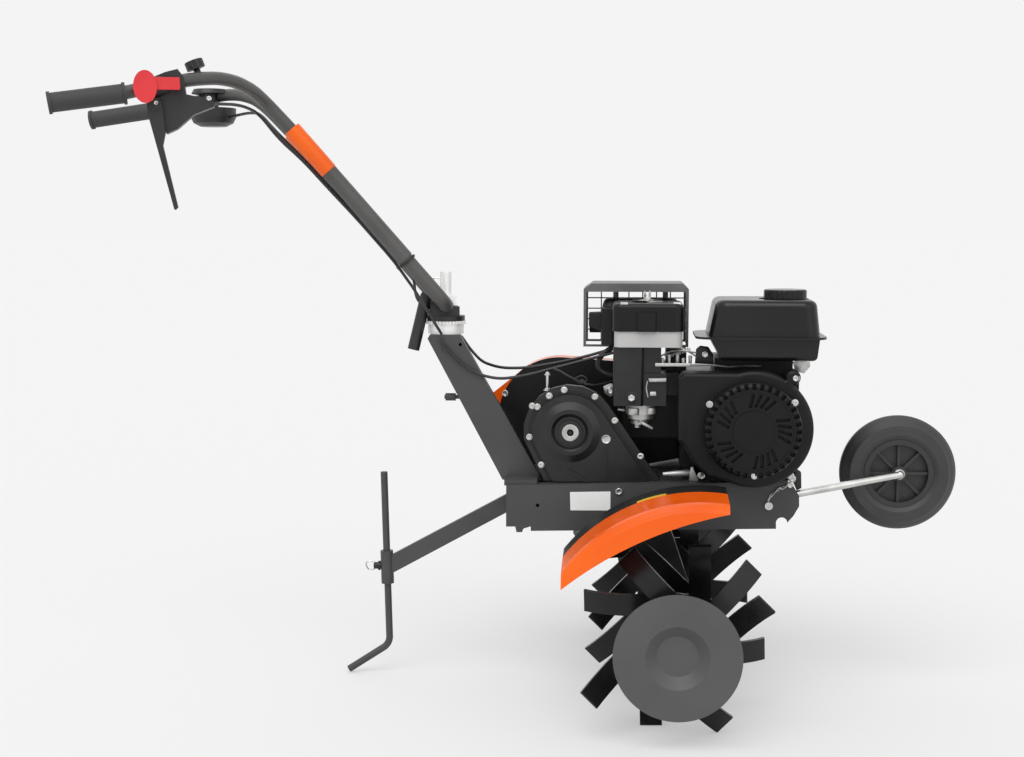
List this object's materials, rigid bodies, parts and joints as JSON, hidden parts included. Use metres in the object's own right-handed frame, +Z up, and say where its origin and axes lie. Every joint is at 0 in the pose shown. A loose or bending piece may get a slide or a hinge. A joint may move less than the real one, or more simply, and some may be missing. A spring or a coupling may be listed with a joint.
{
  "type": "rotary tiller",
  "caption": "Walk-behind petrol rotary tiller with side tine sets, plant discs, swivelling handlebar, front transport wheel and rear ground spur.",
  "frame": {"origin": "middle of the machine's length and width, on the floor it stands on", "axes": "+X forwards to the transport wheel, +Y to the machine's left, +Z up"},
  "size_m": [1.5854, 0.8138, 1.0636],
  "materials": {
    "frame_paint": "satin dark grey powder coat",
    "tube_paint": "satin dark grey paint",
    "tine_paint": "semi-gloss black paint",
    "disc_paint": "matt grey powder coat",
    "case_black": "satin black paint on cast aluminium",
    "chain_black": "satin black paint",
    "backing_black": "satin black paint",
    "pulley_metal": "cast",
    "orange": "glossy orange",
    "black_plastic": "satin black",
    "muffler_black": "satin heat-resistant black",
    "housing_black": "satin black paint",
    "cable_black": "satin black sheath",
    "stop_red": "glossy red",
    "tank_black": "satin black",
    "cleaner_black": "satin black",
    "intake_black": "satin black",
    "carb_metal": "bare cast metal",
    "cleaner_grey": "light grey moulded plastic",
    "engine_black": "satin black paint on cast aluminium",
    "bare_metal": "zinc plated",
    "head_black": "satin black",
    "grip_rubber": "matt rubber",
    "rim_plastic": "moulded plastic",
    "tyre_rubber": "solid rubber"
  },
  "bodies": {
    "chassis": {"frame_left": "frame_paint", "frame_right": "frame_paint", "engine_deck": "frame_paint", "rear_bridge": "frame_paint", "column": "frame_paint", "clamp_ring": "bare_metal", "gear_case": "case_black", "case_cover": "case_black", "chain_case": "chain_black", "belt_guard": "orange", "belt_backing": "backing_black", "belt_pulley": "pulley_metal", "fender_right": "orange", "fender_inner_right": "black_plastic", "fender_left": "orange", "fender_inner_left": "black_plastic", "spur_arm": "frame_paint", "engine_block": "engine_black", "blower_housing": "housing_black", "recoil_cover": "black_plastic", "fuel_tank": "tank_black", "tank_cap": "tank_black", "air_cleaner": "cleaner_black", "air_cleaner_base": "cleaner_grey", "intake_box": "intake_black", "carburettor": "carb_metal", "muffler": "muffler_black", "muffler_guard": "muffler_black", "clutch_cable_lower": "cable_black", "throttle_cable_lower": "cable_black", "pivot_bolt": "bare_metal"},
    "rotor": {"tines_outer_right": "tine_paint", "tines_middle_right": "tine_paint", "tines_inner_right": "tine_paint", "disc_right": "disc_paint", "tines_outer_left": "tine_paint", "tines_middle_left": "tine_paint", "tines_inner_left": "tine_paint", "disc_left": "disc_paint", "rotor_shaft": "tine_paint"},
    "wheel_swing": {"wheel_arm": "bare_metal"},
    "wheel": {"wheel_rim": "rim_plastic", "tyre": "tyre_rubber"},
    "steering_head": {"yoke": "head_black", "clamp_post": "bare_metal", "clamp_lever": "head_black"},
    "handlebar": {"bar_lower": "tube_paint", "bar_upper_right": "tube_paint", "bar_sleeve_right": "tube_paint", "grip_right": "grip_rubber", "bar_upper_left": "tube_paint", "bar_sleeve_left": "tube_paint", "grip_left": "grip_rubber", "clutch_bracket": "black_plastic", "clutch_lever": "black_plastic", "stop_lever": "stop_red", "throttle": "black_plastic", "clutch_cable_upper": "cable_black", "throttle_cable_upper": "cable_black"},
    "spur": {"spur_rod": "tube_paint"}
  },
  "joints": [
    {"name": "rotor_spin", "type": "hinge", "parent": "chassis", "child": "rotor", "pos_m": [0.29757, 0.00988, 0.15152], "axis": [0, 1, 0], "continuous": true},
    {"name": "wheel_arm_swing", "type": "hinge", "parent": "chassis", "child": "wheel_swing", "pos_m": [0.45987, 0.00988, 0.3373], "axis": [0, 1, 0], "range_deg": [0, 84]},
    {"name": "wheel_spin", "type": "hinge", "parent": "wheel_swing", "child": "wheel", "pos_m": [0.69207, 0.00988, 0.383], "axis": [0, 1, 0], "continuous": true},
    {"name": "handle_swivel", "type": "hinge", "parent": "chassis", "child": "steering_head", "pos_m": [-0.10793, 0.00988, 0.647], "axis": [0, 0, 1], "range_deg": [-44, 16]},
    {"name": "handle_tilt", "type": "hinge", "parent": "steering_head", "child": "handlebar", "pos_m": [-0.10988, 0.00944, 0.674], "axis": [-0.2215, 0.9751, 0], "range_deg": [-12, 20]},
    {"name": "spur_slide", "type": "slide", "parent": "chassis", "child": "spur", "axis": [-0.0251, 0, 0.9997], "range_m": [-0.06, 0]}
  ]
}
